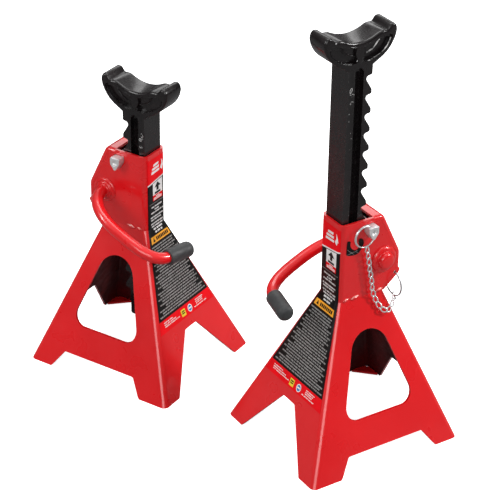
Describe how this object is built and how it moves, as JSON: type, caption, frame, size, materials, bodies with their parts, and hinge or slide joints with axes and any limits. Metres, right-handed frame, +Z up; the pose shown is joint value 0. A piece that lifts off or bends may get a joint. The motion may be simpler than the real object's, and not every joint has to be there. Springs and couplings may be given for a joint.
{
  "type": "axle jack stands",
  "caption": "Ratchet axle stands with folded steel legs, toothed cast columns with U-shaped saddles, bent lift handles and chained lock bars, shown raised and lowered.",
  "frame": {"origin": "floor level, midway between the centre lines of the two towers", "axes": "+Z up; seen along +Y the raised stand is at the right and nearer, the lowered one at the left and farther; the raised stand's labelled front faces its local -Y, turned -57.2 degrees about Z, the lowered stand's +57.6 degrees"},
  "size_m": [0.4211, 0.3396, 0.422],
  "materials": {
    "red_paint": "gloss baked paint",
    "weld": "painted over rippled weld",
    "black_cast": "semi-gloss black paint over casting",
    "zinc_plate": "bright zinc plate",
    "steel": "bare oiled steel",
    "grip_rubber": "matte dark grey",
    "label": "printed film"
  },
  "bodies": {
    "stand1_frame": {"stand1_base_shell": "red_paint", "stand1_sole_plate_front_handle_side": "red_paint", "stand1_sole_plate_front_chain_side": "red_paint", "stand1_sole_plate_rear_handle_side": "red_paint", "stand1_sole_plate_rear_chain_side": "red_paint", "stand1_rear_seam_weld": "weld", "stand1_rear_cover": "red_paint", "stand1_cover_weld_handle_side": "weld", "stand1_cover_weld_chain_side": "weld", "stand1_column_guide": "red_paint", "stand1_stop_stud_handle_side": "steel", "stand1_stop_stud_chain_side": "steel", "stand1_lock_chain": "zinc_plate", "stand1_anchor_ring": "zinc_plate", "stand1_front_label": "label", "stand1_lock_label": "label"},
    "stand1_column": {"stand1_ratchet_column": "black_cast"},
    "stand1_handle": {"stand1_handle_rod": "red_paint", "stand1_handle_washer": "red_paint", "stand1_axle_cap": "red_paint", "stand1_handle_grip": "grip_rubber", "stand1_pawl": "steel", "stand1_pawl_roll_pin": "steel", "stand1_axle_spacer_handle_side": "steel", "stand1_axle_spacer_chain_side": "steel"},
    "stand1_secondary_lock": {"stand1_lock_bar": "zinc_plate", "stand1_bar_ring": "zinc_plate"},
    "stand2_frame": {"stand2_base_shell": "red_paint", "stand2_sole_plate_front_handle_side": "red_paint", "stand2_sole_plate_front_chain_side": "red_paint", "stand2_sole_plate_rear_handle_side": "red_paint", "stand2_sole_plate_rear_chain_side": "red_paint", "stand2_rear_seam_weld": "weld", "stand2_rear_cover": "red_paint", "stand2_cover_weld_handle_side": "weld", "stand2_cover_weld_chain_side": "weld", "stand2_column_guide": "red_paint", "stand2_stop_stud_handle_side": "steel", "stand2_stop_stud_chain_side": "steel", "stand2_lock_chain": "zinc_plate", "stand2_anchor_ring": "zinc_plate", "stand2_front_label": "label", "stand2_lock_label": "label"},
    "stand2_column": {"stand2_ratchet_column": "black_cast"},
    "stand2_handle": {"stand2_handle_rod": "red_paint", "stand2_handle_washer": "red_paint", "stand2_axle_cap": "red_paint", "stand2_handle_grip": "grip_rubber", "stand2_pawl": "steel", "stand2_pawl_roll_pin": "steel", "stand2_axle_spacer_handle_side": "steel", "stand2_axle_spacer_chain_side": "steel"},
    "stand2_secondary_lock": {"stand2_lock_bar": "zinc_plate", "stand2_bar_ring": "zinc_plate"}
  },
  "joints": [
    {"name": "stand1_column_lift", "type": "slide", "parent": "stand1_frame", "child": "stand1_column", "axis": [0, 0, 1], "range_m": [-0.1116, 0]},
    {"name": "stand1_handle_release", "type": "hinge", "parent": "stand1_frame", "child": "stand1_handle", "pos_m": [0.1244, -0.04917, 0.187], "axis": [-0.5417, 0.8406, 0], "range_deg": [0, 20]},
    {"name": "stand1_lock_bar_pull", "type": "slide", "parent": "stand1_frame", "child": "stand1_secondary_lock", "axis": [0.5417, -0.8406, 0], "range_m": [0, 0.055]},
    {"name": "stand_spacing", "type": "slide", "parent": "stand1_frame", "child": "stand2_frame", "axis": [-0.8471, 0.5314, 0], "range_m": [0, 0.15]},
    {"name": "stand2_column_lift", "type": "slide", "parent": "stand2_frame", "child": "stand2_column", "axis": [0, 0, 1], "range_m": [0, 0.1116]},
    {"name": "stand2_handle_release", "type": "hinge", "parent": "stand2_frame", "child": "stand2_handle", "pos_m": [-0.1245, 0.07827, 0.187], "axis": [-0.5358, -0.8443, 0], "range_deg": [0, 20]},
    {"name": "stand2_lock_bar_pull", "type": "slide", "parent": "stand2_frame", "child": "stand2_secondary_lock", "axis": [0.5358, 0.8443, 0], "range_m": [0, 0.055]}
  ]
}
